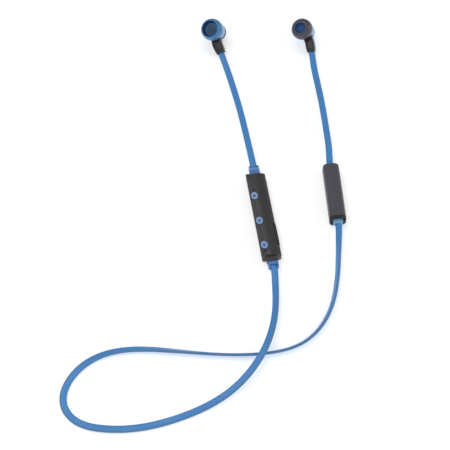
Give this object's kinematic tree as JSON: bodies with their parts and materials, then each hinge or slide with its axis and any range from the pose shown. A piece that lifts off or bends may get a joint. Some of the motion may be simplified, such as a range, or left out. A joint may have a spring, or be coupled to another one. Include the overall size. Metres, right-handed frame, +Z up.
{
  "type": "neckband earphones",
  "caption": "Flat-cord wireless neckband earphones with an inline key remote, a separate battery module and angled in-ear buds, lying in a loose loop.",
  "frame": {"origin": "middle of the footprint, on the flat surface that the earphones lie on, which is the plane z = 0", "axes": "+Z up from the surface, +Y from the closed loop of the neck cord towards the earbuds, +X from the remote towards the battery module"},
  "size_m": [0.1399, 0.2464, 0.0182],
  "materials": {
    "cord_blue": "satin flat TPE cord",
    "boot_blue": "satin moulded TPE",
    "button_blue": "semi-gloss",
    "housing_blue": "gloss",
    "charcoal_shell": "fine matte",
    "grey_shell": "fine matte",
    "black_rubber": "matte",
    "silicone_blue": "soft silicone",
    "silicone_dark": "soft silicone",
    "mesh_blue": "blue woven mesh",
    "circuit_board": "solder mask",
    "plain_steel": "plain",
    "chip_black": "moulded",
    "cell_foil": "satin pouch foil",
    "foam_dark": "open foam",
    "film": "thin film"
  },
  "bodies": {
    "neck_cord_body": {"neck_cord": "cord_blue"},
    "remote": {"remote_front_shell": "charcoal_shell", "remote_rear_shell": "charcoal_shell", "main_circuit_board": "circuit_board", "volume_up_switch": "plain_steel", "multifunction_switch": "plain_steel", "volume_down_switch": "plain_steel", "bluetooth_chip": "chip_black", "chip_antenna": "film", "microphone": "plain_steel", "status_led_lens": "film", "charging_socket": "plain_steel", "remote_upper_boot": "boot_blue", "remote_lower_boot": "boot_blue"},
    "volume_up_key": {"volume_up_button": "button_blue", "volume_up_switch_plunger": "chip_black"},
    "multifunction_key": {"multifunction_button": "button_blue", "multifunction_switch_plunger": "chip_black"},
    "volume_down_key": {"volume_down_button": "button_blue", "volume_down_switch_plunger": "chip_black"},
    "usb_door": {"usb_cover": "black_rubber"},
    "left_ear_cord_body": {"left_ear_cord": "cord_blue"},
    "left_earbud": {"left_front_housing": "housing_blue", "left_rear_housing": "charcoal_shell", "left_stem": "black_rubber", "left_nozzle_mesh": "mesh_blue", "left_driver_frame": "plain_steel", "left_driver_magnet": "plain_steel", "left_diaphragm": "film"},
    "left_tip": {"left_ear_tip": "silicone_blue"},
    "battery_module": {"battery_sleeve": "grey_shell", "battery_end_cap": "black_rubber", "battery_lower_boot": "boot_blue", "battery_upper_grommet": "black_rubber", "lithium_cell": "cell_foil", "protection_board": "circuit_board", "cell_foam_pad": "foam_dark"},
    "right_ear_cord_body": {"right_ear_cord": "cord_blue"},
    "right_earbud": {"right_front_housing": "housing_blue", "right_rear_housing": "housing_blue", "right_stem": "black_rubber", "right_nozzle_mesh": "mesh_blue", "right_driver_frame": "plain_steel", "right_driver_magnet": "plain_steel", "right_diaphragm": "film"},
    "right_tip": {"right_ear_tip": "silicone_dark"}
  },
  "joints": [
    {"name": "remote_cord_flex", "type": "hinge", "parent": "neck_cord_body", "child": "remote", "pos_m": [0.03311, -0.03771, 0.0032], "axis": [0, 0, 1], "range_deg": [-10, 30]},
    {"name": "volume_up_press", "type": "slide", "parent": "remote", "child": "volume_up_key", "axis": [0, 0, -1], "range_m": [0, 0.0003]},
    {"name": "multifunction_press", "type": "slide", "parent": "remote", "child": "multifunction_key", "axis": [0, 0, -1], "range_m": [0, 0.0003]},
    {"name": "volume_down_press", "type": "slide", "parent": "remote", "child": "volume_down_key", "axis": [0, 0, -1], "range_m": [0, 0.0003]},
    {"name": "usb_cover_hinge", "type": "hinge", "parent": "remote", "child": "usb_door", "pos_m": [0.03361, -0.01061, 0.0028], "axis": [0, 0, 1], "range_deg": [0, 100]},
    {"name": "left_cord_flex", "type": "hinge", "parent": "remote", "child": "left_ear_cord_body", "pos_m": [0.02288, 0.02913, 0.0032], "axis": [0, 0, -1], "range_deg": [-30, 10]},
    {"name": "left_stem_flex", "type": "hinge", "parent": "left_ear_cord_body", "child": "left_earbud", "pos_m": [0.00692, 0.10228, 0.0027], "axis": [0, 0, 1], "range_deg": [-25, 25]},
    {"name": "left_tip_pull", "type": "slide", "parent": "left_earbud", "child": "left_tip", "axis": [-0.3752, -0.4794, 0.7933], "range_m": [0, 0.007]},
    {"name": "battery_cord_flex", "type": "hinge", "parent": "neck_cord_body", "child": "battery_module", "pos_m": [0.06625, -0.01209, 0.0039], "axis": [0, 0, -1], "range_deg": [-10, 30]},
    {"name": "right_cord_flex", "type": "hinge", "parent": "battery_module", "child": "right_ear_cord_body", "pos_m": [0.06334, 0.02967, 0.0039], "axis": [0, 0, 1], "range_deg": [-30, 10]},
    {"name": "right_stem_flex", "type": "hinge", "parent": "right_ear_cord_body", "child": "right_earbud", "pos_m": [0.05701, 0.10322, 0.0027], "axis": [0, 0, -1], "range_deg": [-25, 25]},
    {"name": "right_tip_pull", "type": "slide", "parent": "right_earbud", "child": "right_tip", "axis": [-0.371, -0.4456, 0.8147], "range_m": [0, 0.007]}
  ]
}
